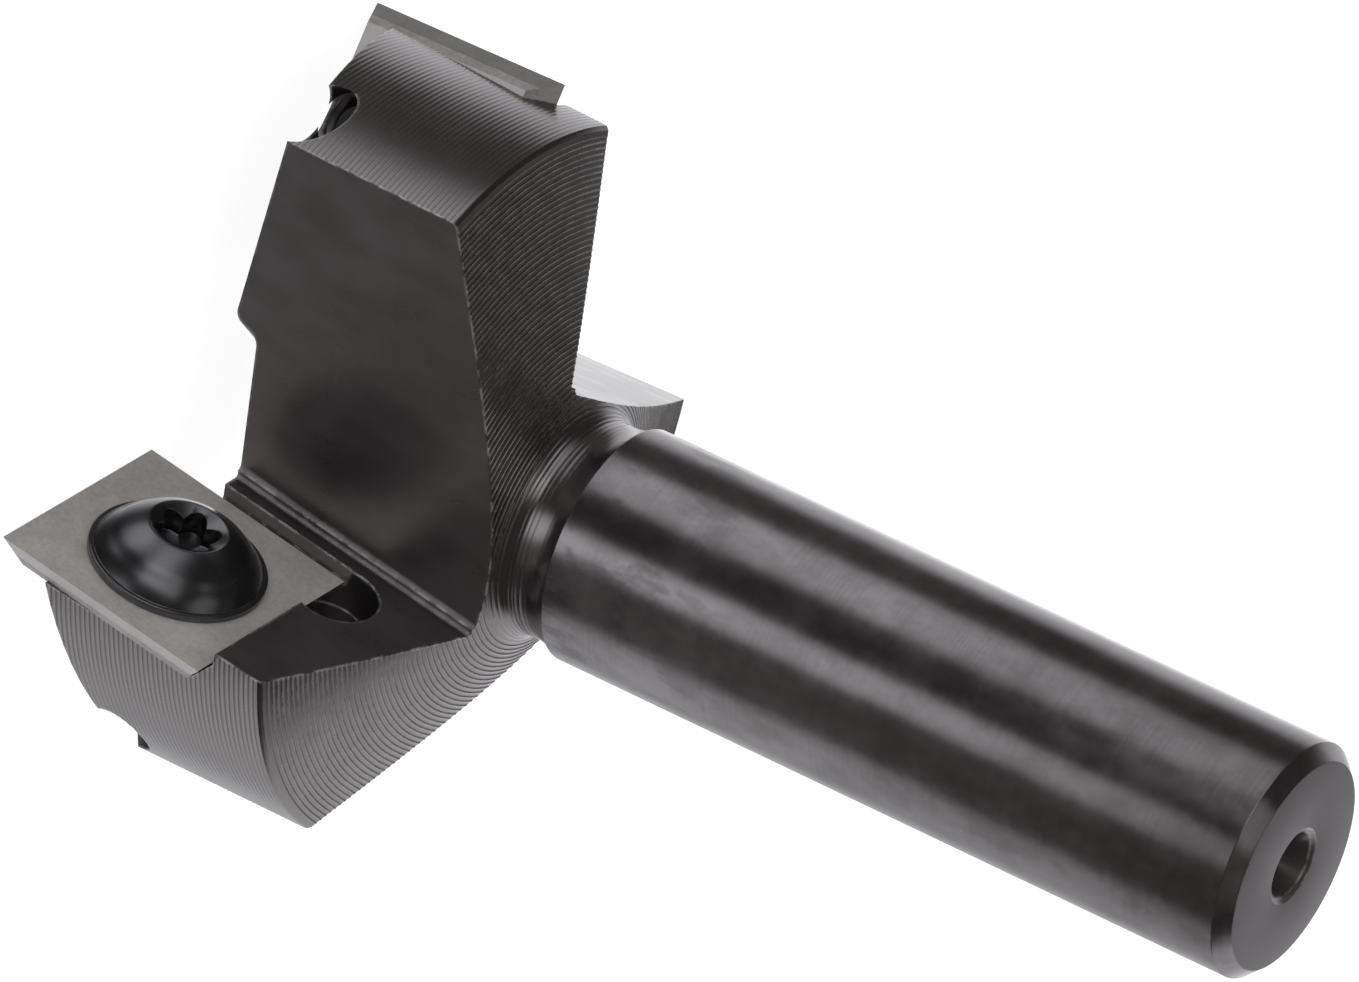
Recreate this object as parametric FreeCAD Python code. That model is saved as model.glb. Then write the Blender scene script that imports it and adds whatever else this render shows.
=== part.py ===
import FreeCAD, Part

import math
import os

from FreeCAD import Placement, Rotation, Vector

# Surfacing cutter for a router: one steel body with a round shank and three wings,
# and a square carbide insert on each wing, held by one flanged screw.
# Lengths are millimetres and angles are degrees.
# The axis is Z, the cutting plane is z = 0 and the shank points up.

# Wings and the cutting circle
wing_count = 3
cutting_radius = 19.0  # axis to each cutting corner
rake_offset = 1.6  # rake face behind the radial line at the cutting corner
axial_rake = 9.5
dish_angle = 1.0  # rise of each bottom edge toward the axis

# Carbide insert
insert_side = 12.0
insert_thickness = 1.5
insert_bevel = 33.0  # flank angle under each of the four edges
insert_hole_radius = 2.4

# Screw
thread_radius = 1.6  # threads are left at their core
screw_length = 6.5  # under the head
screw_offset_out = 0.25  # screw's axis from the insert's middle, away from the tool's axis
screw_offset_up = 0.3  # and toward the shank, so that it draws the insert to the pocket's wall
screw_point_chamfer = 0.5
head_radius = 4.42
flange_height = 0.4
flange_ledge = 0.24  # step from the flange's edge to the dome
dome_radius = 4.92
socket_across = 3.35  # six-lobe socket, over the lobes
socket_between = 2.4  # six-lobe socket, between the lobes
socket_lobe_radius = 0.27
socket_depth = 1.45
socket_mouth_chamfer = 0.3
socket_cone_angle = 120.0
socket_turn = 14.0  # lobes from the insert's bottom edge

# Turned body
shank_radius = 6.0
tool_length = 60.5
shank_end_chamfer = 0.7
neck_radius = 5.55
neck_top = 21.5
shank_start = 22.1
neck_fillet = 1.0
rim_setback = 0.5  # rim inside the cutting circle
rim_radius = cutting_radius - rim_setback
rim_corner = 14.69  # height where the rim and the shoulder would meet
rim_round = 0.4
shoulder_slope = 19.8

# Centre hole in the shank's end
centre_mouth_radius = 1.95
centre_mouth_depth = 0.16
centre_cone_radius = 1.68
centre_cone_angle = 60.0
pilot_radius = 0.8
pilot_depth = 3.4
drill_point_angle = 118.0

# Underside of the wings
bottom_setback = 1.75  # body behind the cutting plane at the cutting corner
bottom_relief = 14.1
bottom_dish = 1.2
recess_floor = 4.53
recess_radius = 8.5
recess_flare = 22.0
recess_fillet = 0.4

# Flutes and insert pockets, measured from the insert's rake face and cutting corner
land_height = 0.7  # flute face above the insert's rake face
pocket_clearance = 0.25  # between the insert's edges and the pocket's walls
relief_radius = 2.13  # round relief for the insert's inner corner
relief_rise = 0.6  # its centre above the pocket's upper wall
flute_depth = 13.3  # cutting corner to the flute's floor
flute_lean = 2.8  # back of the wing ahead, off square to the rake face
ledge_height = 0.35
ledge_width = 0.18
ledge_fillet = 0.2
flute_fillet = 0.25
thread_clearance = 0.05  # between the screw and its hole in the body

# Room that each cutting shape reaches past the body
overrun = 8.0

axis = Vector(0, 0, 1)
centre = Vector(0, 0, 0)


def tangent(angle):
    return math.tan(math.radians(angle))


def rounded_outline(corners):
    """Close an outline through corners (a, b, radius), each radius a tangent arc."""
    starts = []
    ends = []
    middles = []
    count = len(corners)
    for index, (a, b, radius) in enumerate(corners):
        corner = Vector(a, b, 0)
        back = Vector(*corners[index - 1][:2], 0) - corner
        ahead = Vector(*corners[(index + 1) % count][:2], 0) - corner
        back.normalize()
        ahead.normalize()
        half = back.getAngle(ahead) / 2
        reach = radius / math.tan(half)
        starts.append(corner + back * reach)
        ends.append(corner + ahead * reach)
        bisector = back + ahead
        if radius > 0:
            bisector.normalize()
        middles.append(corner + bisector * (radius / math.sin(half) - radius))
    edges = []
    for index in range(count):
        if corners[index][2] > 0:
            edges.append(Part.Arc(starts[index], middles[index], ends[index]).toShape())
        following = starts[(index + 1) % count]
        if ends[index].distanceToPoint(following) > 1e-6:
            edges.append(Part.LineSegment(ends[index], following).toShape())
    return Part.Wire(edges)


def turned(corners):
    """Turn an outline of (radius, height, corner radius) round the Z axis."""
    face = Part.Face(rounded_outline(corners))
    face.rotate(centre, Vector(1, 0, 0), 90)
    return face.revolve(centre, axis, 360)


def on_wing(shape, wing):
    """Carry a shape from the first wing round the axis to another wing."""
    copy = shape.copy()
    copy.rotate(centre, axis, wing * 360 / wing_count)
    return copy


# Insert frame: x outward along the bottom edge, y along the side edge toward the shank,
# z out of the rake face, with its origin at the cutting corner
cutting_corner = Vector(math.sqrt(cutting_radius**2 - rake_offset**2), rake_offset, 0)
insert_turn = Rotation(Vector(1, 0, 0), 90 - axial_rake).multiply(Rotation(axis, -dish_angle))
insert_frame = Placement(cutting_corner, insert_turn)
insert_middle = Vector(-insert_side / 2, insert_side / 2, 0)
screw_middle = insert_middle + Vector(screw_offset_out, screw_offset_up, 0)


def in_insert_frame(shape):
    placed = shape.copy()
    placed.Placement = insert_frame.multiply(placed.Placement)
    return placed


def turned_blank():
    """Shank, neck, sloping shoulder and rim as one turned bar."""
    slope = tangent(shoulder_slope)
    neck_start = rim_corner + (rim_radius - neck_radius) * slope
    return turned([
        (0, 0, 0),
        (rim_radius, 0, 0),
        (rim_radius, rim_corner, rim_round),
        (neck_radius, neck_start, neck_fillet),
        (neck_radius, neck_top, 0),
        (shank_radius, shank_start, 0),
        (shank_radius, tool_length - shank_end_chamfer, 0),
        (shank_radius - shank_end_chamfer, tool_length, 0),
        (0, tool_length, 0),
    ])


def centre_hole():
    """Centre-drilled hole in the end of the shank."""
    cone_top = tool_length - centre_mouth_depth
    cone_depth = (centre_cone_radius - pilot_radius) / tangent(centre_cone_angle / 2)
    point_top = tool_length - pilot_depth
    point_depth = pilot_radius / tangent(drill_point_angle / 2)
    return turned([
        (0, point_top - point_depth, 0),
        (pilot_radius, point_top, 0),
        (pilot_radius, cone_top - cone_depth, 0),
        (centre_cone_radius, cone_top, 0),
        (centre_mouth_radius, tool_length, 0),
        (0, tool_length, 0),
    ])


def underside_recess():
    """Round recess in the middle of the underside, with a flared wall."""
    flare = recess_floor * tangent(recess_flare)
    return turned([
        (0, 0, 0),
        (recess_radius + flare, 0, 0),
        (recess_radius, recess_floor, recess_fillet),
        (0, recess_floor, 0),
    ])


def underside_relief():
    """Everything under one wing's sloping underside."""
    reach = rim_radius + overrun
    block = Part.makeBox(reach, 2 * reach, reach, Vector(-cutting_corner.x, -reach, -reach))
    tilt = Rotation(Vector(1, 0, 0), bottom_relief).multiply(Rotation(Vector(0, 1, 0), -bottom_dish))
    block.Placement = Placement(cutting_corner + Vector(0, 0, bottom_setback), tilt)
    return block


def flute():
    """Open space in front of one rake face, cut to the back of the next wing."""
    ledge = land_height + ledge_height
    top = land_height + 2 * rim_radius
    floor_top = -flute_depth + (top - ledge) * tangent(flute_lean)
    profile = rounded_outline([
        (overrun, land_height, 0),
        (ledge_width - flute_depth, land_height, ledge_fillet),
        (ledge_width - flute_depth, ledge, 0),
        (-flute_depth, ledge, flute_fillet),
        (floor_top, top, 0),
        (overrun, top, 0),
    ])
    profile.rotate(centre, Vector(1, 0, 0), 90)
    profile.translate(Vector(0, -overrun, 0))
    prism = Part.Face(profile).extrude(Vector(0, neck_top + 3 * overrun, 0))
    below_shank = Part.makeCylinder(rim_radius + overrun, neck_top + overrun, Vector(0, 0, -overrun))
    return in_insert_frame(prism).common(below_shank)


def pocket_outline(wall, height):
    """Two walls of the pocket and its open sides, in the insert's frame."""
    corners = [(-wall, -overrun), (overrun, -overrun), (overrun, wall), (-wall, wall)]
    points = [Vector(x, y, height) for x, y in corners]
    return Part.makePolygon(points + points[:1])


def insert_pocket():
    """Seat, walls and round corner relief that locate one insert.

    The walls follow the insert's bevelled flanks down to the seat.
    """
    wall = insert_side + pocket_clearance
    foot = wall - insert_thickness * tangent(insert_bevel)
    depth = land_height + insert_thickness
    lower = Part.makeLoft([pocket_outline(foot, -insert_thickness), pocket_outline(wall, 0)], True, True)
    upper = Part.Face(pocket_outline(wall, 0)).extrude(Vector(0, 0, land_height + overrun))
    seat = lower.fuse(upper)
    relief = Part.makeCylinder(
        relief_radius,
        depth + overrun,
        Vector(relief_radius - wall, wall + relief_rise, -insert_thickness),
    )
    return in_insert_frame(seat.fuse(relief))


def screw_hole():
    """Tapped hole from the seat out through the wing's back."""
    hole = Part.makeCylinder(
        thread_radius + thread_clearance,
        2 * rim_radius,
        screw_middle,
        Vector(0, 0, -1),
    )
    return in_insert_frame(hole)


def cutter_body():
    """The one-piece steel body with its shank."""
    cuts = [centre_hole(), underside_recess()]
    for wing in range(wing_count):
        for cut in (underside_relief(), flute(), insert_pocket(), screw_hole()):
            cuts.append(on_wing(cut, wing))
    return turned_blank().cut(cuts)


def square(side, height):
    """Square outline in the insert's frame, centred on the insert."""
    half = side / 2
    corners = [(-half, -half), (half, -half), (half, half), (-half, half)]
    points = [insert_middle + Vector(x, y, height) for x, y in corners]
    return Part.makePolygon(points + points[:1])


def carbide_insert():
    """Square plate with four bevelled flanks and a plain hole for the screw."""
    seat_side = insert_side - 2 * insert_thickness * tangent(insert_bevel)
    plate = Part.makeLoft([square(seat_side, -insert_thickness), square(insert_side, 0)], True, True)
    hole = Part.makeCylinder(
        insert_hole_radius,
        insert_thickness + 2 * overrun,
        insert_middle - Vector(0, 0, insert_thickness + overrun),
    )
    return plate.cut(hole)


def six_lobe_outline():
    """Outline of the socket: six round lobes with rounded teeth between them."""
    lobe_centre = socket_across / 2 - socket_lobe_radius
    tooth = socket_between / 2
    turn = math.cos(math.radians(30))
    tooth_radius = (
        lobe_centre**2 + tooth**2 - 2 * lobe_centre * tooth * turn - socket_lobe_radius**2
    ) / (2 * (socket_lobe_radius + lobe_centre * turn - tooth))
    edges = []
    for lobe in range(6):
        facing = Rotation(axis, 60 * lobe)
        middle = facing.multVec(Vector(lobe_centre, 0, 0))
        joins = []
        for side in (-30, 30):
            tooth_centre = Vector(tooth + tooth_radius, 0, 0)
            toward = facing.multVec(Rotation(axis, side).multVec(tooth_centre)) - middle
            toward.normalize()
            joins.append(middle + toward * socket_lobe_radius)
        edges.append(Part.Arc(joins[0], facing.multVec(Vector(socket_across / 2, 0, 0)), joins[1]))
        tooth_middle = facing.multVec(Rotation(axis, 30).multVec(Vector(tooth, 0, 0)))
        next_join = Rotation(axis, 60).multVec(joins[0])
        edges.append(Part.Arc(joins[1], tooth_middle, next_join))
    return Part.Wire([edge.toShape() for edge in edges])


def insert_screw():
    """Button head with a thin flange, a six-lobe socket and a plain threaded length."""
    point_radius = thread_radius - screw_point_chamfer
    shank = turned([
        (0, -screw_length, 0),
        (point_radius, -screw_length, 0),
        (thread_radius, screw_point_chamfer - screw_length, 0),
        (thread_radius, 0, 0),
        (head_radius, 0, 0),
        (head_radius, flange_height, 0),
        (0, flange_height, 0),
    ])
    dome_base = head_radius - flange_ledge
    dome_drop = math.sqrt(dome_radius**2 - dome_base**2)
    ball = Part.makeSphere(dome_radius, Vector(0, 0, flange_height - dome_drop))
    dome = ball.common(Part.makeCylinder(dome_base, dome_radius, Vector(0, 0, flange_height)))
    mouth_radius = socket_across / 2 + socket_mouth_chamfer
    mouth_height = flange_height - dome_drop + math.sqrt(dome_radius**2 - mouth_radius**2)
    mouth_cone = mouth_radius / tangent(socket_cone_angle / 2)
    mouth = turned([
        (0, mouth_height - mouth_cone, 0),
        (mouth_radius, mouth_height, 0),
        (mouth_radius, mouth_height + overrun, 0),
        (0, mouth_height + overrun, 0),
    ])
    socket = Part.Face(six_lobe_outline()).extrude(Vector(0, 0, overrun))
    socket.rotate(centre, axis, socket_turn)
    socket.translate(Vector(0, 0, mouth_height - socket_depth))
    screw = shank.fuse(dome).cut([mouth, socket])
    screw.translate(screw_middle)
    return screw


os.makedirs("parts", exist_ok=True)
cutter_body().exportStep("parts/cutter_body.step")
for wing in range(wing_count):
    number = wing + 1
    on_wing(in_insert_frame(carbide_insert()), wing).exportStep(f"parts/carbide_insert_{number}.step")
    on_wing(in_insert_frame(insert_screw()), wing).exportStep(f"parts/insert_screw_{number}.step")
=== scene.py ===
import math

import bpy
import numpy as np
from mathutils import Matrix, Vector


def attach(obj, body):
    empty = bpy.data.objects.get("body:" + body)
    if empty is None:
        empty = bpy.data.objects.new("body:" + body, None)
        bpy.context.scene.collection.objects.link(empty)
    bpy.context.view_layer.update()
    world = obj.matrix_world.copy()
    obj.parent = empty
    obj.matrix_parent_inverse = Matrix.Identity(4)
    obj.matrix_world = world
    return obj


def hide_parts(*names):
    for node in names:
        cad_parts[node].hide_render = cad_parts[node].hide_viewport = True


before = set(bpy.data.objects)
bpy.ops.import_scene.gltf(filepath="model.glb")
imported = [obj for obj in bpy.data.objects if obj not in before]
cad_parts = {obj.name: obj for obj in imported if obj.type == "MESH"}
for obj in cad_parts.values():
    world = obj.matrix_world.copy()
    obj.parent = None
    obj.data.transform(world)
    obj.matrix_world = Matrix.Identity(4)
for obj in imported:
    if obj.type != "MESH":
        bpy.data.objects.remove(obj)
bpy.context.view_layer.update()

# Surfacing cutter for a router: a turned and milled steel body, and on each of its wings a
# square carbide insert with its screw, worked out here as surfaces that stand in for the packed
# solids. Lengths are millimetres until they go into a mesh, angles are degrees.
mm = 0.001


# One shader socket: sums on it add Math nodes, and every other node comes from made().
class Field:
    def __init__(self, tree, socket=None):
        self.tree = tree
        self.socket = socket

    def made(self, kind, settings=None, sockets=None, out=0):
        # Adds a node: settings first, then values or links by socket name or number.
        node = self.tree.nodes.new(kind)
        for name, value in (settings or {}).items():
            setattr(node, name, value)
        for name, value in (sockets or {}).items():
            if isinstance(value, Field):
                self.tree.links.new(value.socket, node.inputs[name])
            else:
                node.inputs[name].default_value = value
        return Field(self.tree, node.outputs[out]) if node.outputs else None

    def sum(self, operation, *values):
        return self.made("ShaderNodeMath", {"operation": operation}, dict(enumerate(values)))

    def __add__(self, other):
        return self.sum("ADD", self, other)

    def __sub__(self, other):
        return self.sum("SUBTRACT", self, other)

    def __rsub__(self, other):
        return self.sum("SUBTRACT", other, self)

    def __mul__(self, other):
        return self.sum("MULTIPLY", self, other)

    def __truediv__(self, other):
        return self.sum("DIVIDE", self, other)

    def __pow__(self, other):
        return self.sum("POWER", self, other)

    __radd__ = __add__
    __rmul__ = __mul__

    def ramp(self, low, high, start=0.0, end=1.0):
        # Smooth rise from start at low to end at high.
        sockets = {0: self, 1: low, 2: high, 3: start, 4: end}
        return self.made("ShaderNodeMapRange", {"interpolation_type": "SMOOTHSTEP"}, sockets)

    def stretched(self, x, y, z):
        sockets = {0: self, 1: (x, y, z)}
        return self.made("ShaderNodeVectorMath", {"operation": "MULTIPLY"}, sockets)

    def noise(self, scale, detail, rough):
        sockets = {"Vector": self, "Scale": scale, "Detail": detail, "Roughness": rough}
        return self.made("ShaderNodeTexNoise", {}, sockets)

    def blend(self, dark, light):
        # Colour from dark to light by this value.
        ends = [end if isinstance(end, Field) else end + (1,) for end in (dark, light)]
        sockets = {0: self, 6: ends[0], 7: ends[1]}
        return self.made("ShaderNodeMix", {"data_type": "RGBA"}, sockets, out=2)

    def parts(self):
        return [self.made("ShaderNodeSeparateXYZ", {}, {0: self}, out=index) for index in range(3)]


def newMaterial(name):
    material = bpy.data.materials.new(name)
    material.use_nodes = True
    material.node_tree.nodes.clear()
    position = Field(material.node_tree).made("ShaderNodeTexCoord", out="Object")
    return material, position


# How edges wear and show a painted highlight: samples for the rounding, the patches' detail
# and roughness and where they start and end, how far the lean widens, and how much less
# metallic the bare steel is.
edgeWearAndHighlight = {"samples": 4, "patchNoise": (3, 0.6), "patchRamp": (0.40, 0.58), "spread": 3,
           "dulling": 0.5}


def metal(position, colour, roughness, relief, look):
    # Ends a material: colour, roughness and height in. Where the normal leans over within the
    # look's edge width, a light bare-steel colour shows in broken patches: wear on outer edges, and
    # a painted highlight on inner edges, where nothing wears; soft edges are also shaded round.
    sockets = {"Strength": look["bump"], "Distance": look["height"] * mm, "Height": relief}
    metallic = look["metallic"]
    if look["edge"] > 0:
        width = {"Radius": look["edge"] * mm}
        rounded = position.made("ShaderNodeBevel", {"samples": edgeWearAndHighlight["samples"]}, width)
        if look["soft"]:
            sockets["Normal"] = rounded
        if look["wearAndHighlight"] > 0:
            flat = position.made("ShaderNodeNewGeometry", out="Normal")
            product = {"operation": "DOT_PRODUCT"}
            both = {0: rounded, 1: flat}
            lean = 1 - position.made("ShaderNodeVectorMath", product, both, out="Value")
            patches = position.noise(look["patches"], *edgeWearAndHighlight["patchNoise"])
            patches = patches.ramp(*edgeWearAndHighlight["patchRamp"])
            bend = lean.ramp(look["lean"], edgeWearAndHighlight["spread"] * look["lean"])
            # Light colour on every edge: bare steel where outer edges wear, painted highlight on
            # inner edges.
            wornAndHighlitEdge = bend * patches * look["wearAndHighlight"]
            colour = wornAndHighlitEdge.blend(colour, look["bareSteelAndHighlight"])
            metallic = metallic - edgeWearAndHighlight["dulling"] * wornAndHighlitEdge
    normal = position.made("ShaderNodeBump", {}, sockets)
    shader = position.made("ShaderNodeBsdfPrincipled", {}, {
        "Base Color": colour, "Roughness": roughness, "Normal": normal, "Metallic": metallic,
    })
    position.made("ShaderNodeOutputMaterial", {}, {"Surface": shader})


# Looks: two tones, roughness and how far the clouds change it, bump and its height in
# millimetres, rounded edge and its wear with painted highlight, and each pattern's scale,
# detail and roughness.
turnedLook = {
    "dark": (0.20, 0.184, 0.183), "light": (0.27, 0.25, 0.25), "rough": 0.23, "change": 0.14,
    "metallic": 0.97, "bump": 0.2, "height": 0.001, "edge": 0.2, "soft": False, "wearAndHighlight": 0.8,
    "lean": 0.05, "bareSteelAndHighlight": (0.62, 0.60, 0.59), "patches": 1500,
    "cloud": (300, 4, 0.65), "grain": (1500, 2, 0.5),
}


def turnedSteel():
    material, position = newMaterial("turnedBlackSteel")
    cloud = position.noise(*turnedLook["cloud"])
    grain = position.noise(*turnedLook["grain"])
    roughness = turnedLook["rough"] + turnedLook["change"] * (cloud - 0.5)
    colour = cloud.blend(turnedLook["dark"], turnedLook["light"])
    metal(position, colour, roughness, grain, turnedLook)
    return material


milledLook = {
    "dark": (0.205, 0.190, 0.189), "light": (0.250, 0.235, 0.236), "rough": 0.29,
    "change": 0.14, "smearChange": 0.12, "metallic": 0.93, "bump": 0.4, "height": 0.010,
    "edge": 0.2, "soft": True, "wearAndHighlight": 0.9, "lean": 0.012, "bareSteelAndHighlight": (0.62, 0.60, 0.59),
    "patches": 1500, "cloud": (170, 4, 0.6), "smear": (620, 2, 0.5), "smearStretch": (1, 1, 0.35),
    "smearShare": 0.4, "contrast": (0.36, 0.64),
}


def milledSteel():
    # Clouds, with smears drawn out along the tool's axis.
    look = milledLook
    material, position = newMaterial("milledBlackSteel")
    cloud = position.noise(*look["cloud"])
    smear = position.stretched(*look["smearStretch"]).noise(*look["smear"])
    share = look["smearShare"]
    tone = ((1 - share) * cloud + share * smear).ramp(*look["contrast"])
    roughness = look["rough"] + look["change"] * (cloud - 0.5)
    roughness = roughness + look["smearChange"] * (smear - 0.5)
    metal(position, tone.blend(look["dark"], look["light"]), roughness, smear, look)
    return material


groundLook = {
    "dark": (0.19, 0.175, 0.178), "light": (0.27, 0.252, 0.256), "rough": 0.21,
    "change": 0.14, "scratchChange": 0.05, "neckBlotchChange": 0.10, "metallic": 0.96,
    "bump": 0.06, "height": 0.003, "edge": 0.06, "soft": True, "wearAndHighlight": 0.5, "lean": 0.01,
    "bareSteelAndHighlight": (0.50, 0.48, 0.47), "patches": 2500,
    "cloud": (420, 5, 0.66), "cloudStretch": (1, 1, 0.7), "scratch": (9000, 2, 0.7),
    "scratchStretch": (0.03, 0.03, 1), "scratchShare": 0.2, "contrast": (0.36, 0.64),
    "neckBlotch": (0.10, 0.095, 0.10), "blotch": (640, 4, 0.6), "blotchStretch": (1, 1, 0.5),
    "blotchRamp": (0.46, 0.64), "blotchHeights": (0.024, 0.034), "blotchShares": (0.6, 0.08),
    "faceCloud": (400, 4, 0.6), "faceRough": 0.08, "faceRings": 6500,
}


def groundSteel():
    # The ground shank: fine scratches round it, clouds along it, and darker blotches near the neck.
    look = groundLook
    material, position = newMaterial("groundBlackSteel")
    cloud = position.stretched(*look["cloudStretch"]).noise(*look["cloud"])
    scratches = position.stretched(*look["scratchStretch"]).noise(*look["scratch"])
    blotch = position.stretched(*look["blotchStretch"]).noise(*look["blotch"])
    height = position.parts()[2]
    near = height.ramp(*look["blotchHeights"], *look["blotchShares"])
    # Darker, rougher blotches that fade out away from the neck.
    neckBlotch = blotch.ramp(*look["blotchRamp"]) * near
    roughness = look["rough"] + look["change"] * (cloud - 0.5)
    roughness = roughness + look["scratchChange"] * (scratches - 0.5)
    roughness = roughness + look["neckBlotchChange"] * neckBlotch
    share = look["scratchShare"]
    tone = ((1 - share) * cloud + share * scratches).ramp(*look["contrast"])
    colour = neckBlotch.blend(tone.blend(look["dark"], look["light"]), look["neckBlotch"])
    metal(position, colour, roughness, scratches, look)
    return material


def facedSteel():
    # The lathe's finer rings on the end of the shank: 1 - 4 (r - 0.5) squared across each ring.
    look = groundLook
    material, position = newMaterial("facedBlackSteel")
    x, y = position.parts()[:2]
    across = (x * x + y * y) ** 0.5 * look["faceRings"]
    rings = across.sum("FRACT", across) - 0.5
    relief = 1 - 4 * rings * rings
    cloud = position.noise(*look["faceCloud"])
    roughness = look["rough"] + look["faceRough"] + look["change"] * (cloud - 0.5)
    metal(position, cloud.blend(look["dark"], look["light"]), roughness, relief, look)
    return material


carbideLook = {"cloud": (500, 3, 0.6), "grain": (4, 0.75), "grainShare": 0.55,
               "contrast": (0.34, 0.66), "change": 0.14}
lappedLook = {
    "dark": (0.60, 0.564, 0.537), "light": (0.78, 0.741, 0.706), "rough": 0.46,
    "metallic": 0.40, "bump": 0.2, "height": 0.003, "edge": 0.03, "soft": True, "wearAndHighlight": 0.0,
    "grain": 3600,
}
flankLook = {
    "dark": (0.45, 0.430, 0.416), "light": (0.56, 0.540, 0.524), "rough": 0.30,
    "metallic": 0.95, "bump": 0.15, "height": 0.003, "edge": 0.0, "soft": False, "wearAndHighlight": 0.0,
    "grain": 5200,
}
pressedLook = {
    "dark": (0.36, 0.34, 0.325), "light": (0.60, 0.575, 0.55), "rough": 0.50,
    "metallic": 0.55, "bump": 0.5, "height": 0.008, "edge": 0.0, "soft": False, "wearAndHighlight": 0.0,
    "grain": 4200,
}


def carbide(name, look):
    # Sintered grain: the rake face is lapped, the flanks ground or left as pressed.
    material, position = newMaterial(name)
    cloud = position.noise(*carbideLook["cloud"])
    grain = position.noise(look["grain"], *carbideLook["grain"])
    share = carbideLook["grainShare"]
    tone = ((1 - share) * cloud + share * grain).ramp(*carbideLook["contrast"])
    roughness = look["rough"] + carbideLook["change"] * (grain - 0.5)
    metal(position, tone.blend(look["dark"], look["light"]), roughness, grain, look)
    return material


screwLook = {
    "dark": (0.125, 0.123, 0.130), "light": (0.180, 0.177, 0.187), "rough": 0.26,
    "change": 0.12, "metallic": 0.97, "bump": 0.2, "height": 0.004, "edge": 0.06, "soft": True,
    "wearAndHighlight": 0.5, "lean": 0.02, "bareSteelAndHighlight": (0.42, 0.41, 0.41), "patches": 2200,
    "cloud": (700, 4, 0.6), "grain": (2600, 3, 0.6),
}
# The thread is much darker than the head: painted shade, for the hole it sits in.
threadShadeLook = {
    "dark": (0.030, 0.028, 0.027), "light": (0.060, 0.056, 0.054), "rough": 0.48,
    "change": 0.12, "metallic": 0.60, "bump": 0.3, "height": 0.004, "edge": 0.0, "soft": False,
    "wearAndHighlight": 0.0, "cloud": (700, 4, 0.6), "grain": (2600, 3, 0.6),
}


def screwSteel(name, look):
    material, position = newMaterial(name)
    cloud = position.noise(*look["cloud"])
    grain = position.noise(*look["grain"])
    roughness = look["rough"] + look["change"] * (cloud - 0.5)
    metal(position, cloud.blend(look["dark"], look["light"]), roughness, grain, look)
    return material


def solidMesh(name, points, polygons, marks):
    # polygons is a list of (n, k) corner arrays, and marks their material numbers. The sum of
    # signed tetrahedra tells which way the faces point, and they are turned outwards.
    volume = 0.0
    for corners in polygons:
        first = points[corners[:, 0]]
        for step in range(1, corners.shape[1] - 1):
            pair = np.cross(points[corners[:, step]], points[corners[:, step + 1]])
            volume += float((first * pair).sum())
    if volume < 0:
        polygons = [corners[:, ::-1] for corners in polygons]
    sizes = np.concatenate([np.full(len(corners), corners.shape[1]) for corners in polygons])
    loops = np.concatenate([corners.ravel() for corners in polygons])
    mesh = bpy.data.meshes.new(name)
    mesh.vertices.add(len(points))
    mesh.vertices.foreach_set("co", (points * mm).astype(np.float32).ravel())
    mesh.loops.add(len(loops))
    mesh.loops.foreach_set("vertex_index", loops.astype(np.int32))
    mesh.polygons.add(len(sizes))
    starts = np.concatenate([[0], np.cumsum(sizes)[:-1]])
    mesh.polygons.foreach_set("loop_start", starts.astype(np.int32))
    mesh.polygons.foreach_set("material_index", np.concatenate(marks).astype(np.int32))
    mesh.update(calc_edges=True)
    mesh.validate()
    thing = bpy.data.objects.new(name, mesh)
    bpy.context.scene.collection.objects.link(thing)
    return thing


def finished(thing, materials, sharpAngle):
    for material in materials:
        thing.data.materials.append(material)
    thing.data.set_sharp_from_angle(angle=math.radians(sharpAngle))
    return thing


def bandQuads(rows, columns, upper):
    # Four-cornered faces between each row of points and its upper one, all the way round.
    here = np.arange(columns)
    after = (here + 1) % columns
    quads = np.stack([rows + here, rows + after, upper + after, upper + here], axis=2)
    return quads.reshape(-1, 4)


def roundedPath(corners, steps, closed):
    # Each corner (a, b, radius) becomes an arc tangent to both its sides, or stays a point.
    path = []
    for index, (a, b, radius) in enumerate(corners):
        corner = np.array([a, b], float)
        if radius == 0 or (not closed and index in (0, len(corners) - 1)):
            path.append(corner[None])
            continue
        back = np.array(corners[index - 1][:2]) - corner
        ahead = np.array(corners[(index + 1) % len(corners)][:2]) - corner
        back /= np.linalg.norm(back)
        ahead /= np.linalg.norm(ahead)
        half = math.acos(np.clip(back @ ahead, -1, 1)) / 2
        bisector = (back + ahead) / np.linalg.norm(back + ahead)
        middle = corner + bisector * radius / math.sin(half)
        start = corner + back * radius / math.tan(half) - middle
        end = corner + ahead * radius / math.tan(half) - middle
        whole = math.pi - 2 * half
        share = np.linspace(0, 1, steps + 1)[:, None]
        arc = np.sin((1 - share) * whole) * start + np.sin(share * whole) * end
        path.append(middle + arc / math.sin(whole))
    return np.concatenate(path)


def poledSolid(name, rings, poles, marks):
    # Quads from each ring of points to the next, and a fan from each pole to the ring beside it.
    # There is one mark for each row of faces, the fans first and last.
    columns = rings.shape[1]
    points = np.concatenate([rings.reshape(-1, 3), poles])
    rows = np.arange(len(rings) - 1)[:, None] * columns
    here = np.arange(columns)
    after = (here + 1) % columns
    last = (len(rings) - 1) * columns
    low = np.stack([np.full(columns, len(points) - 2), after, here], axis=1)
    high = np.stack([np.full(columns, len(points) - 1), last + here, last + after], axis=1)
    bands = bandQuads(rows, columns, rows + columns)
    marks = [np.repeat(part, columns) for part in (marks[1:-1], marks[:1], marks[-1:])]
    return solidMesh(name, points, [bands, low, high], marks)


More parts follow.
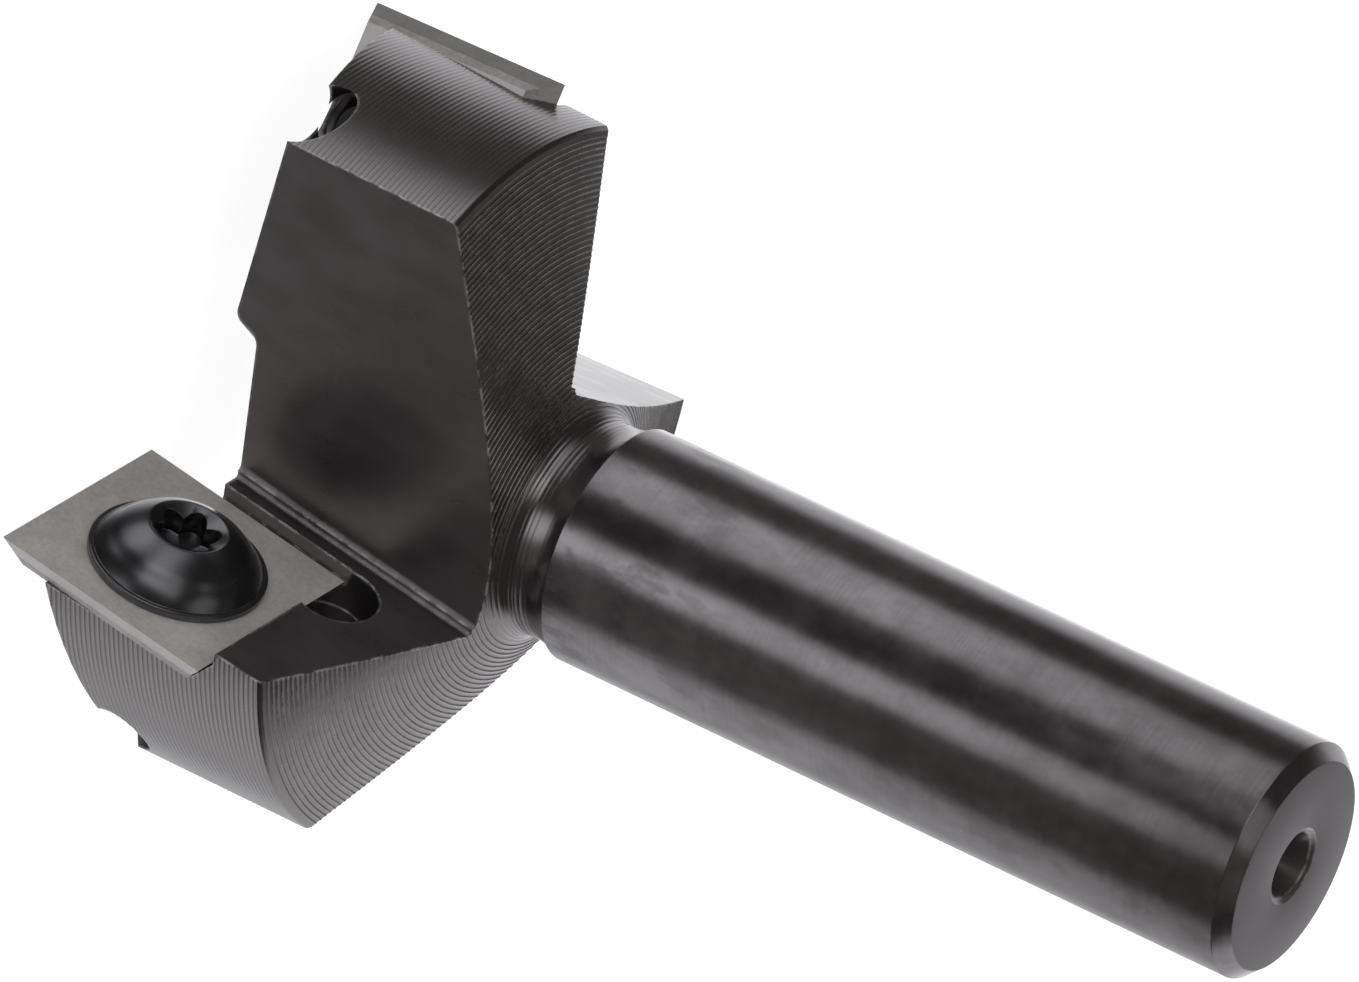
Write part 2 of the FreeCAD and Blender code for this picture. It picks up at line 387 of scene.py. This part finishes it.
def turnedRings(radius, height, columns):
    # Radius and height of each row, turned round Z; either may also differ along a row.
    angle = np.linspace(0, 2 * math.pi, columns, endpoint=False)
    radius, height = np.broadcast_arrays(radius, height)
    return np.stack([radius * np.cos(angle), radius * np.sin(angle), height + 0 * angle], axis=2)


def turnedSolid(name, profile, columns, marks):
    # A profile of radius and height turned round Z; its first and last points are the poles.
    rings = turnedRings(profile[1:-1, :1], profile[1:-1, 1:], columns)
    poles = np.array([[0, 0, profile[0, 1]], [0, 0, profile[-1, 1]]])
    return poledSolid(name, rings, poles, marks)


def prism(name, rings, mark):
    # Straight walls from each ring of points to the next, closed by a cap at each end.
    count = len(rings[0])
    here = np.arange(count)
    rows = np.arange(len(rings) - 1)[:, None] * count
    last = (len(rings) - 1) * count
    walls = bandQuads(rows, count, rows + count)
    faces = [walls, here[None, ::-1], here[None] + last]
    marks = [np.full(len(part), mark) for part in faces]
    return solidMesh(name, np.concatenate(rings), faces, marks)


def turn(axisIndex, degrees):
    # Rotation matrix about one of the three axes.
    one, two = [index for index in range(3) if index != axisIndex]
    matrix = np.eye(3)
    c, s = math.cos(math.radians(degrees)), math.sin(math.radians(degrees))
    sign = -1 if axisIndex == 1 else 1
    matrix[one, one] = matrix[two, two] = c
    matrix[one, two], matrix[two, one] = -s * sign, s * sign
    return matrix


tool = {"wings": 3, "cuttingRadius": 19.0, "rakeOffset": 1.6, "axialRake": 9.5, "dish": 1.0}
cuttingOut = math.sqrt(tool["cuttingRadius"] ** 2 - tool["rakeOffset"] ** 2)
cuttingCorner = np.array([cuttingOut, tool["rakeOffset"], 0])
insertTurn = turn(0, 90 - tool["axialRake"]) @ turn(2, -tool["dish"])


def onWing(points, wing):
    # From the insert's own frame (out along its edge, up its side, off its face) to a wing.
    placed = points @ insertTurn.T + cuttingCorner
    return placed @ turn(2, wing * 360 / tool["wings"]).T


insert = {"side": 12.0, "thickness": 1.5, "bevel": 33.0, "hole": 2.4, "honed": 0.03,
          "ground": 0.95, "sideSteps": 12, "sharpAngle": 10}


def insertPlate(wing, materials):
    # Square plate round its hole: each row runs round the plate, on the hole's wall a circle
    # and elsewhere a square, and the rows go up the hole, out over the rake face and down
    # the bevelled flanks to the seat.
    half = insert["side"] / 2
    bevel = math.tan(math.radians(insert["bevel"]))
    along = np.linspace(-1, 1, insert["sideSteps"], endpoint=False)
    ones = np.ones_like(along)
    square = np.concatenate([
        np.stack([along, -ones], axis=1), np.stack([ones, along], axis=1),
        np.stack([-along, ones], axis=1), np.stack([-ones, -along], axis=1),
    ])
    circle = insert["hole"] * square / np.linalg.norm(square, axis=1)[:, None]
    rows = [(circle, -insert["thickness"]), (circle, 0), (square * (half - insert["honed"]), 0)]
    for depth in (insert["honed"], insert["ground"], insert["thickness"]):
        rows.append((square * (half - depth * bevel), -depth))
    count = len(square)
    rings = np.stack([np.column_stack([ring, np.full(count, height)]) for ring, height in rows])
    rings[..., :2] += [-half, half]
    row = np.arange(len(rows))[:, None] * count
    quads = bandQuads(row, count, (row + count) % (len(rows) * count))
    lappedMark, flankMark, pressedMark = range(3)
    marks = [flankMark, lappedMark, flankMark, flankMark, pressedMark, flankMark]
    points = onWing(rings, wing).reshape(-1, 3)
    plate = solidMesh(f"carbideInsert{wing + 1}", points, [quads], [np.repeat(marks, count)])
    return finished(plate, materials, insert["sharpAngle"])


screw = {
    "headRadius": 4.42, "flange": 0.4, "ledge": 0.24, "edgeRound": 0.1, "edgeSteps": 5,
    "dome": 4.92, "domeRows": 40, "ring": 3.5, "ringWidth": 0.22, "ringDepth": 0.03,
    "lobes": 6, "across": 3.35, "between": 2.4, "lobePower": 0.6, "socketTurn": 14.0,
    "socketDepth": 1.45, "mouth": 0.3, "mouthRound": 0.14, "lipRows": 4, "coneAngle": 120.0,
    "wallShare": 0.99, "wallDrop": 0.02, "floorShare": 0.9, "floorEdge": 0.05, "floorDrop": 0.2,
    "core": 1.3, "crest": 1.6, "length": 6.5, "pitch": 0.7, "flanks": (2.4, 0.1), "point": 0.5,
    "threadTop": -1.4, "runout": 0.4, "plain": 0.5, "turnRows": 8, "columns": 144,
    "out": 0.25, "up": 0.3, "sharpAngle": 28,
}
# On the rake face, a little off the insert's middle, so that the screw draws it to the walls.
screwMiddle = (screw["out"] - insert["side"] / 2, screw["up"] + insert["side"] / 2)


def threadWave(heights, angle, slope, root):
    # Triangle wave, slope times the way to the nearer root less a flat root, between 0 and 1. It
    # climbs one pitch in each turn.
    climb = (heights / screw["pitch"] - angle / (2 * math.pi)) % 1
    return np.clip(slope * np.minimum(climb, 1 - climb) - root, 0, 1)


def screwThread(angle):
    # Radius and height of the rows from the point up to the head: core and wave, cut off by the
    # point's cone, and plain above the thread.
    tip, point = -screw["length"], screw["crest"] - screw["point"]
    step = screw["pitch"] / screw["turnRows"]
    rise = np.arange(tip, screw["threadTop"] + screw["plain"], step)[:, None]
    wave = threadWave(rise, angle, *screw["flanks"])
    wave = np.maximum(wave, np.clip((rise - screw["threadTop"]) / screw["runout"], 0, 1))
    thread = screw["core"] + (screw["crest"] - screw["core"]) * wave
    return np.minimum(thread, point + rise - tip), rise


def screwHead():
    # Radius and height from under the head over the flange and the dome to the socket's mouth:
    # a sphere less a shallow ring shaped as a bell curve, with a rounded lip.
    rim, mouth = screw["headRadius"] - screw["ledge"], screw["across"] / 2 + screw["mouth"]
    across = np.linspace(rim, mouth, screw["domeRows"])
    dome = np.sqrt(screw["dome"] ** 2 - across ** 2)
    dome += screw["flange"] - dome[0]
    dome -= screw["ringDepth"] * np.exp(-((across - screw["ring"]) / screw["ringWidth"]) ** 2)
    flange = roundedPath([
        (screw["crest"], 0, 0), (screw["headRadius"], 0, screw["edgeRound"] / 2),
        (screw["headRadius"], screw["flange"], screw["edgeRound"]), (rim, screw["flange"], 0),
    ], screw["edgeSteps"], False)[:-1]
    cone = 1 / math.tan(math.radians(screw["coneAngle"] / 2))
    kept = len(across) - screw["lipRows"]  # the dome's last rows give way to the lip's arc
    lip = roundedPath([
        (across[kept - 1], dome[kept - 1], 0), (mouth, dome[-1], screw["mouthRound"]),
        (mouth - screw["mouth"], dome[-1] - screw["mouth"] * cone, 0),
    ], screw["edgeSteps"], False)[1:-1]
    profile = np.concatenate([flange, np.stack([across, dome], axis=1)[:kept], lip])
    return profile, mouth, dome[-1], cone


def insertScrew(wing, materials):
    # Rows up the thread, round the head and down the socket, whose radius is a raised cosine of
    # six lobes, to a power that widens them. Its chamfer is a cone from the mouth.
    columns = screw["columns"]
    angle = np.linspace(0, 2 * math.pi, columns, endpoint=False)
    thread, rise = screwThread(angle)
    head, mouth, top, cone = screwHead()
    lobe = 0.5 + 0.5 * np.cos(screw["lobes"] * (angle - math.radians(screw["socketTurn"])))
    lobe = (screw["across"] - screw["between"]) * lobe ** screw["lobePower"]
    socket = (screw["between"] + lobe)[None] / 2
    wall = screw["wallShare"] * socket
    chamfer = top - (mouth - socket) * cone
    floor = top - screw["socketDepth"]
    rings = np.concatenate([
        turnedRings(thread, rise, columns),
        turnedRings(head[:, :1], head[:, 1:], columns),
        turnedRings(socket, chamfer, columns),
        turnedRings(wall, chamfer - screw["wallDrop"], columns),
        turnedRings(wall, floor, columns),
        turnedRings(screw["floorShare"] * socket, floor - screw["floorEdge"], columns),
    ])
    marks = np.zeros(len(rings) + 1, int)
    marks[:len(rise)] = 1
    poles = np.array([[0, 0, -screw["length"]], [0, 0, floor - screw["floorDrop"]]])
    rings, poles = [onWing(points + [*screwMiddle, 0], wing) for points in (rings, poles)]
    thing = poledSolid(f"insertScrew{wing + 1}", rings, poles, marks)
    return finished(thing, materials, screw["sharpAngle"])


blank = {
    "shankRadius": 6.0, "length": 60.5, "endChamfer": 0.7, "neckRadius": 5.55, "neckTop": 21.42,
    "shankStart": 22.1, "neckFillet": 1.3, "neckFlare": 2.4, "rimRadius": 18.498,
    "rimCorner": 14.688, "rimRound": 0.4, "slope": 19.8, "edgeRound": 0.06,
    "pathSteps": 24, "edgeSteps": 4, "columns": 288, "sharpAngle": 18,
}
centreHole = {"mouth": 1.95, "mouthRound": 0.03, "mouthDepth": 0.16, "cone": 1.68,
              "coneRound": 0.02, "pilot": 0.8, "pilotRound": 0.05, "depth": 3.4, "drillPoint": 0.48}
# The lathe's feed marks, and how they fade up the neck and over the rim's corner.
feed = {"pitch": 0.28, "steps": 6, "rimDepth": 0.013, "shoulderDepth": 0.037, "shoulderFrom": 0.1,
        "cornerFrom": 0.2, "cornerFade": 0.35, "heights": (18.9, 19.9, 21.0),
        "fades": (1.0, 0.45, 0.08)}
turnedMark, groundMark, facedMark, milledMark = range(4)


def feedMarks(path):
    # Lathe feed marks down a path of (radius, height): each groove is depth times (1 - t squared)
    # deep along the normal, t from -1 to 1 across it, less over the rim's corner and up the neck.
    lengths = np.concatenate([[0], np.cumsum(np.linalg.norm(np.diff(path, axis=0), axis=1))])
    count = round(lengths[-1] / feed["pitch"])
    share = np.arange(count * feed["steps"] + 1) / feed["steps"]
    along = share * lengths[-1] / count
    points = np.stack([np.interp(along, lengths, column) for column in path.T], axis=1)
    course = np.gradient(points, axis=0)
    normal = np.stack([course[:, 1], -course[:, 0]], axis=1)
    normal /= np.linalg.norm(course, axis=1)[:, None]
    radius, height = points.T
    onShoulder = radius < blank["rimRadius"] - feed["shoulderFrom"]
    depth = np.where(onShoulder, feed["shoulderDepth"], feed["rimDepth"])
    depth *= np.interp(height, feed["heights"], feed["fades"])
    onCorner = radius > blank["rimRadius"] - blank["rimRound"]
    onCorner &= height > blank["rimCorner"] - feed["cornerFrom"]
    depth[onCorner] *= feed["cornerFade"]
    depth *= 1 - (2 * (share % 1) - 1) ** 2
    return points - normal * depth[:, None]


def turnedProfile():
    # Radius and height from the axis under the rim, over the shoulder, neck and shank, and down
    # into the centre hole.
    rim, neck, shank = blank["rimRadius"], blank["neckRadius"], blank["shankRadius"]
    top = blank["length"]
    neckStart = blank["rimCorner"] + (rim - neck) * math.tan(math.radians(blank["slope"]))
    turnedPath = roundedPath([
        (rim, 0, 0),
        (rim, blank["rimCorner"], blank["rimRound"]),
        (neck, neckStart, blank["neckFillet"]),
        (neck, blank["neckTop"], blank["neckFlare"]),
        (shank, blank["shankStart"], 0),
    ], blank["pathSteps"], False)
    pilot = centreHole["pilot"]
    coneTop = top - centreHole["mouthDepth"]
    coneDepth = (centreHole["cone"] - pilot) * math.sqrt(3)  # a cone of 60 degrees
    groundPath = roundedPath([
        (neck, blank["neckTop"], 0),
        (shank, blank["shankStart"], blank["edgeRound"]),
        (shank, top - blank["endChamfer"], blank["edgeRound"]),
        (shank - blank["endChamfer"], top, blank["edgeRound"]),
        (centreHole["mouth"], top, centreHole["mouthRound"]),
        (centreHole["cone"], coneTop, centreHole["coneRound"]),
        (pilot, coneTop - coneDepth, centreHole["pilotRound"]),
        (pilot, top - centreHole["depth"], 0),
        (0, top - centreHole["depth"] - centreHole["drillPoint"], 0),
    ], blank["edgeSteps"], False)[1:]
    return np.concatenate([[[0, 0]], feedMarks(turnedPath)[:-1], groundPath])


def bodyBlank():
    profile = turnedProfile()
    radii, heights = ((profile[1:] + profile[:-1]) / 2).T
    margin = centreHole["mouthRound"]
    inHole = (heights > blank["shankStart"]) & (radii < centreHole["mouth"] + margin)
    marks = np.full(len(heights), turnedMark)
    marks[heights > blank["shankStart"]] = groundMark
    marks[heights > blank["length"] - margin] = facedMark
    marks[inHole] = milledMark
    return turnedSolid("cutterBody", profile, blank["columns"], marks)


cuts = {
    "bottomSetback": 1.75, "bottomRelief": 14.1, "bottomDish": 1.2,
    "recessFloor": 4.53, "recessRadius": 8.5, "recessFlare": 22.0, "recessFillet": 0.4,
    "recessStart": 1.0, "recessColumns": 144,
    "lipRound": 0.4, "lipMargin": 0.3, "lipAngles": (-8, 92, 101), "lipSteps": 9,
    "landHeight": 0.7, "pocketClearance": 0.1, "reliefRadius": 2.13, "reliefRise": 0.6,
    "fluteDepth": 13.3, "fluteLean": 2.8, "ledgeHeight": 0.35, "ledgeWidth": 0.18,
    "ledgeFillet": 0.2, "fluteFillet": 0.25, "arcSteps": 8,
    "holeRadius": 1.65, "threadRadius": 2.0, "threadEnd": 7.2, "flanks": (2.6, 0.15),
    "turnRows": 6, "holeEnd": 16.0, "holeTop": 0.5, "holeColumns": 64, "reach": 8.0,
}


def boxRings(low, high, heights, taper=0.0):
    # Rectangles at rising heights; the left and far sides stand back by the taper below zero.
    rings = []
    for height in heights:
        back = taper * min(height, 0)
        left, far = low[0] - back, high[1] + back
        rings.append([[left, low[1], height], [high[0], low[1], height],
                      [high[0], far, height], [left, far, height]])
    return np.array(rings, float)


def wingCutters(wing):
    # What is milled from one wing: the underside and its rounded lip, the flute with its ledge,
    # the insert's pocket with a drilled corner, and the tapped hole.
    reach, land = cuts["reach"], cuts["landHeight"]
    wall = insert["side"] + cuts["pocketClearance"]
    seat = -insert["thickness"]
    big = blank["rimRadius"] + reach
    turned = turn(2, wing * 360 / tool["wings"])
    tilt = turn(0, cuts["bottomRelief"]) @ turn(1, -cuts["bottomDish"])
    start = cuttingCorner + np.array([0, 0, cuts["bottomSetback"]])

    block = boxRings((-cuttingCorner[0], -big), (big - cuttingCorner[0], big), (-big, 0))
    relief = prism("relief", (block @ tilt.T + start) @ turned.T, milledMark)
    lip = prism("lip", recessLip(tilt[:, 2], start) @ turned.T, milledMark)

    ledge = land + cuts["ledgeHeight"]
    top = land + 2 * blank["rimRadius"]
    lean = (top - ledge) * math.tan(math.radians(cuts["fluteLean"]))
    outline = roundedPath([
        (reach, land, 0),
        (cuts["ledgeWidth"] - cuts["fluteDepth"], land, cuts["ledgeFillet"]),
        (cuts["ledgeWidth"] - cuts["fluteDepth"], ledge, 0),
        (-cuts["fluteDepth"], ledge, cuts["fluteFillet"]),
        (-cuts["fluteDepth"] + lean, top, 0),
        (reach, top, 0),
    ], cuts["arcSteps"], True)
    low = np.column_stack([outline[:, 0], np.full(len(outline), -reach), outline[:, 1]])
    low = onWing(low, wing)
    upward = onWing(np.array([[0, 1.0, 0]]), wing) - onWing(np.zeros((1, 3)), wing)
    high = low + upward * ((blank["neckTop"] - low[:, 2]) / upward[0, 2])[:, None]
    flute = prism("flute", [low, high], milledMark)

    taper = math.tan(math.radians(insert["bevel"]))
    pocket = boxRings((-wall, -reach), (reach, wall), (seat, 0, top), taper)
    pocket = prism("pocket", onWing(pocket, wing), milledMark)
    drilled = (cuts["reliefRadius"] - wall, wall + cuts["reliefRise"])
    rows = np.array([seat, top])
    corner = roundHole("cornerRelief", drilled, rows, cuts["reliefRadius"], 0, wing)
    rows = np.arange(-cuts["threadEnd"], cuts["holeTop"], screw["pitch"] / cuts["turnRows"])
    rows = np.concatenate([[-cuts["holeEnd"]], rows])
    depth = cuts["threadRadius"] - cuts["holeRadius"]
    thread = roundHole("screwHole", screwMiddle, rows, cuts["holeRadius"], depth, wing)
    return [relief, lip, flute, pocket, corner, thread]


def roundHole(name, middle, heights, radius, depth, wing):
    # Rings of a hole across a rake face. A thread adds depth times the thread's wave, except at
    # the hole's ends.
    columns = cuts["holeColumns"]
    angle = np.linspace(0, 2 * math.pi, columns, endpoint=False)
    wave = threadWave(heights[:, None], angle, *cuts["flanks"])
    wave[:2] = wave[-1] = 0
    size = radius + depth * wave
    rings = np.stack([
        middle[0] + size * np.cos(angle), middle[1] + size * np.sin(angle),
        np.repeat(heights[:, None], columns, 1),
    ], axis=2)
    return prism(name, onWing(rings, wing), milledMark)


def recessLip(plane, start):
    # Rounds the edge between the recess wall, r = foot - z tan(flare), and one underside plane.
    # Its cross-section lies between the edge and an arc tangent to both surfaces.
    flare = math.tan(math.radians(cuts["recessFlare"]))
    foot = cuts["recessRadius"] + cuts["recessFloor"] * flare
    angle = np.radians(np.linspace(*cuts["lipAngles"]))
    outward = np.stack([np.cos(angle), np.sin(angle), np.zeros_like(angle)], axis=1)
    side = outward @ plane
    height = (start @ plane - foot * side) / (plane[2] - flare * side)
    edge = outward * (foot - height * flare)[:, None] + np.outer(height, [0, 0, 1])
    wall = -(outward + [0, 0, flare]) / math.hypot(1, flare)
    under = np.repeat(-plane[None], len(angle), 0)
    both = wall + under
    middle = edge - both * cuts["lipRound"] / (1 + (wall * under).sum(1))[:, None]
    outside = cuts["lipRound"] + cuts["lipMargin"]
    ring = [edge + cuts["lipMargin"] * both, middle + outside * under]
    for share in np.linspace(0, 1, cuts["lipSteps"]):
        bend = (1 - share) * under + share * wall
        ring.append(middle + cuts["lipRound"] * bend / np.linalg.norm(bend, axis=1)[:, None])
    ring.append(middle + outside * wall)
    return np.stack(ring, axis=1)


def recessCutter():
    # The round recess under the wings, flared from its floor down.
    below, floor = -cuts["recessStart"], cuts["recessFloor"]
    flare = math.tan(math.radians(cuts["recessFlare"]))
    profile = roundedPath([
        (0, below, 0),
        (cuts["recessRadius"] + (floor - below) * flare, below, 0),
        (cuts["recessRadius"], floor, cuts["recessFillet"]),
        (0, floor, 0),
    ], cuts["arcSteps"], False)
    marks = np.full(len(profile) - 1, milledMark)
    return turnedSolid("recess", profile, cuts["recessColumns"], marks)


def machinedBody(materials):
    # The blank less every cutter, each by its own Boolean.
    body = bodyBlank()
    cutters = [recessCutter()]
    for wing in range(tool["wings"]):
        cutters += wingCutters(wing)
    for thing in [body] + cutters:
        for material in materials:
            thing.data.materials.append(material)
    for cutter in cutters:
        bite = body.modifiers.new(cutter.name, "BOOLEAN")
        bite.operation = "DIFFERENCE"
        bite.solver = "MANIFOLD"
        bite.object = cutter
    bpy.context.view_layer.update()
    graph = bpy.context.evaluated_depsgraph_get()
    mesh = bpy.data.meshes.new_from_object(body.evaluated_get(graph))
    body.modifiers.clear()
    body.data = mesh
    mesh.polygons.foreach_set("use_smooth", np.ones(len(mesh.polygons), bool))
    for cutter in cutters:
        bpy.data.objects.remove(cutter)
    return finished(body, [], blank["sharpAngle"])


print("materials")
steels = [turnedSteel(), groundSteel(), facedSteel(), milledSteel()]
carbides = [carbide("lappedCarbide", lappedLook), carbide("groundCarbide", flankLook),
            carbide("pressedCarbide", pressedLook)]
screwMetals = [screwSteel("blackScrewSteel", screwLook), screwSteel("screwThreadShaded", threadShadeLook)]

print("machined body")
body = machinedBody(steels)
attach(body, "root")
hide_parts("cutter_body")
print("body triangles", sum(len(p.vertices) - 2 for p in body.data.polygons))

print("inserts and screws")
for wing in range(tool["wings"]):
    plate = insertPlate(wing, carbides)
    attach(plate, "root")
    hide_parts(f"carbide_insert_{wing + 1}")
    fastener = insertScrew(wing, screwMetals)
    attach(fastener, "root")
    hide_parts(f"insert_screw_{wing + 1}")


camera = {"location": (529.07, -355.33, 310.88), "back": (0.75994, -0.50402, 0.41043),
          "up": (-0.35545, -0.85091, -0.38680), "focal": 389.87, "sensor": 36.0,
          "near": 0.05, "far": 20}


def addCamera():
    # Camera straight at the photograph's viewing angle: axes right, up and back as columns.
    back = Vector(camera["back"]).normalized()
    right = Vector(camera["up"]).cross(back).normalized()
    up = back.cross(right)
    data = bpy.data.cameras.new("camera")
    data.lens = camera["focal"]
    data.sensor_width = camera["sensor"]
    data.clip_start, data.clip_end = camera["near"], camera["far"]
    thing = bpy.data.objects.new("camera", data)
    matrix = Matrix((right, up, back)).transposed().to_4x4()
    matrix.translation = Vector(camera["location"]) * mm
    thing.matrix_world = matrix
    bpy.context.scene.collection.objects.link(thing)
    bpy.context.scene.camera = thing


def toward(azimuth, elevation):
    a, e = math.radians(azimuth), math.radians(elevation)
    return Vector((math.cos(a) * math.cos(e), math.sin(a) * math.cos(e), math.sin(e)))


# Soft white panels round a dim room, as the metal mirrors them: azimuth of the middle, half
# width and softness of the sides, lower and upper height on a ball of radius 1, strength.
# The room is a little warm and the panels a little cool.
studio = {
    "dim": 0.045, "soft": 0.6, "edge": 0.14,
    "roomTint": (1.0, 0.92, 0.88), "panelTint": (0.955, 0.965, 1.0), "coolFrom": 0.3,
    "panels": [
        (-94, 19, 9, -0.78, -0.31, 1.15),
        (-78, 20, 14, -0.20, 0.28, 0.9),
        (-19, 10, 8, -0.78, -0.31, 1.3),
        (-150, 40, 10, -0.78, -0.31, 0.06),
        (24, 30, 10, -0.78, -0.31, 0.12),
        (78, 22, 12, -0.78, -0.31, 0.88),
        (137, 30, 12, -0.78, -0.25, 0.68),
        (112, 24, 12, -0.25, 0.64, 0.85),
        (172, 28, 12, -0.78, -0.26, 0.95),
        (162, 26, 12, -0.26, 0.30, 0.85),
        (160, 34, 15, 0.20, 0.96, 0.11),
        (0, 60, 25, 0.79, 1.3, 0.09),
    ],
}


def seenRays(field):
    # Camera, mirror and glass rays, which see the studio otherwise than the soft light does.
    names = ("Is Camera Ray", "Is Glossy Ray", "Is Transmission Ray")
    rays = [field.made("ShaderNodeLightPath", out=name) for name in names]
    return rays, rays[0].sum("MAXIMUM", rays[0], rays[1].sum("MAXIMUM", rays[1], rays[2]))


def addWorld():
    # White for the camera and for glass. Metal sees white where a panel is and a dim room
    # elsewhere, and the floor is lit evenly.
    world = bpy.data.worlds.new("studio")
    world.use_nodes = True
    world.node_tree.nodes.clear()
    tree = Field(world.node_tree)
    x, y, z = tree.made("ShaderNodeTexCoord", out="Generated").parts()
    rays, white = seenRays(tree)
    flat = (x * x + y * y) ** 0.5
    light = studio["dim"]
    blur = studio["edge"]
    for azimuth, half, soft, lower, upper, strength in studio["panels"]:
        middle = toward(azimuth, 0)
        facing = (x * middle.x + y * middle.y) / flat
        sides = [math.cos(math.radians(half + side * soft)) for side in (1, -1)]
        inside = z.ramp(lower - blur, lower + blur) * z.ramp(upper - blur, upper + blur, 1.0, 0.0)
        light = light + facing.ramp(sides[0], sides[1], 0.0, strength) * inside
    tint = light.ramp(studio["dim"], studio["coolFrom"])
    tint = tint.blend(studio["roomTint"], studio["panelTint"])
    colour = rays[1].blend((1, 1, 1), tint)
    strength = white - rays[1] * (1 - light) + (1 - white) * studio["soft"]
    background = tree.made("ShaderNodeBackground", {}, {"Color": colour, "Strength": strength})
    tree.made("ShaderNodeOutputWorld", {}, {"Surface": background})
    bpy.context.scene.world = world


# Azimuth and elevation, distance, width and height in metres, radiance.
lamps = [("windowLamp", -53, 12, 1.2, 0.46, 1.0, 0.7), ("ceilingLamp", -64, 66, 1.3, 0.7, 0.5, 0.4)]


def addLamps():
    for name, azimuth, elevation, distance, width, height, radiance in lamps:
        data = bpy.data.lights.new(name, "AREA")
        data.shape = "RECTANGLE"
        data.size, data.size_y = width, height
        data.energy = radiance * math.pi * width * height
        lamp = bpy.data.objects.new(name, data)
        lamp.location = toward(azimuth, elevation) * distance
        lamp.rotation_euler = toward(azimuth, elevation).to_track_quat("Z", "Y").to_euler()
        lamp.visible_camera = False
        bpy.context.scene.collection.objects.link(lamp)


# Metres; how pale the floor is for soft light, and for the camera with a glow added.
floorLook = {"radius": 6, "sides": 96, "height": -0.00002, "pale": 0.8, "shown": 0.45, "glow": 0.9}


def addFloor():
    # Pale floor: white to the camera with the tool's soft shadow on it, and clear from below.
    material, position = newMaterial("paleFloor")
    seen = seenRays(position)[1]
    plain, dim = [
        position.made("ShaderNodeBsdfDiffuse", {}, {"Color": (shade, shade, shade, 1)})
        for shade in (floorLook["pale"], floorLook["shown"])
    ]
    glow = position.made("ShaderNodeEmission", {}, {"Strength": floorLook["glow"]})
    shown = position.made("ShaderNodeAddShader", {}, {0: dim, 1: glow})
    surface = position.made("ShaderNodeMixShader", {}, {0: seen, 1: plain, 2: shown})
    below = position.made("ShaderNodeNewGeometry", out="Backfacing")
    clear = position.made("ShaderNodeBsdfTransparent")
    surface = position.made("ShaderNodeMixShader", {}, {0: below, 1: surface, 2: clear})
    position.made("ShaderNodeOutputMaterial", {}, {"Surface": surface})
    radius, sides = floorLook["radius"], floorLook["sides"]
    angle = np.linspace(0, 2 * math.pi, sides, endpoint=False)
    height = np.full(sides, floorLook["height"])
    rim = np.stack([radius * np.cos(angle), radius * np.sin(angle), height], axis=1)
    mesh = bpy.data.meshes.new("floor")
    mesh.from_pydata(rim.tolist(), [], [list(range(sides))])
    mesh.materials.append(material)
    floor = bpy.data.objects.new("floor", mesh)
    floor.visible_glossy = False
    bpy.context.scene.collection.objects.link(floor)


print("studio")
addCamera()
addWorld()
addLamps()
addFloor()
bpy.context.scene.view_settings.view_transform = "Standard"
